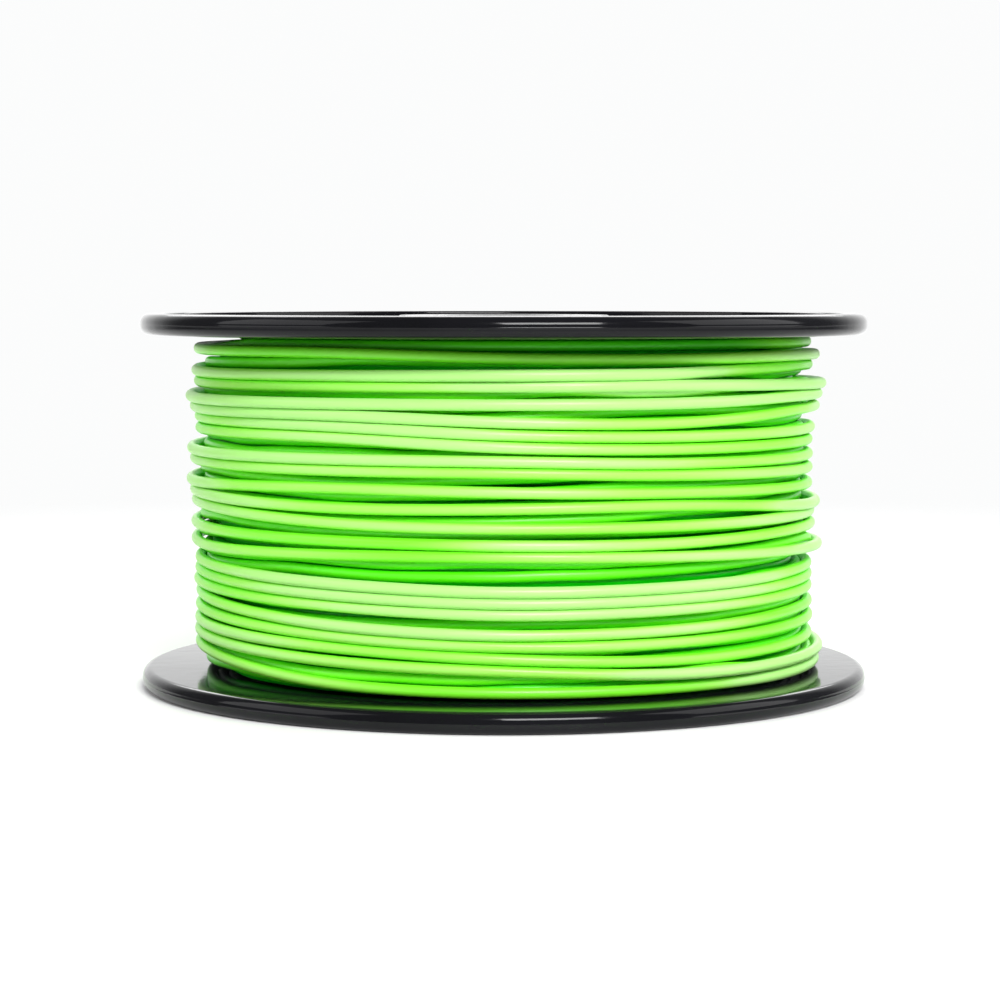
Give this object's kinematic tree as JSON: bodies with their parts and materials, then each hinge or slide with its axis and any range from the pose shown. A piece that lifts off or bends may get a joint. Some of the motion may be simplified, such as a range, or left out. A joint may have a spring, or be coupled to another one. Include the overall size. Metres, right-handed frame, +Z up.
{
  "type": "wire spool",
  "caption": "Black two-flange plastic spool wound full with glossy lime-green insulated single-core wire, arbor bore through the middle.",
  "frame": {"origin": "centre of the face the spool stands on, on its axis", "axes": "+Z up along the spool's axis, from the lower flange to the upper one; -Y towards the viewer of the front"},
  "size_m": [0.165, 0.165, 0.0845],
  "materials": {
    "flange_plastic": "glossy moulded black",
    "core_plastic": "plain moulded dark grey",
    "green_insulation": "smooth, slightly glossy lime-green insulation",
    "copper_conductor": null
  },
  "bodies": {
    "root": {"lower_flange": "flange_plastic", "upper_flange": "flange_plastic", "barrel": "core_plastic", "arbor_tube": "core_plastic", "wire_inner_layers": "green_insulation", "wire_outer_layers": "green_insulation", "wire_start_insulation": "green_insulation", "wire_start_conductor": "copper_conductor", "wire_end_insulation": "green_insulation", "wire_end_conductor": "copper_conductor"}
  },
  "joints": []
}
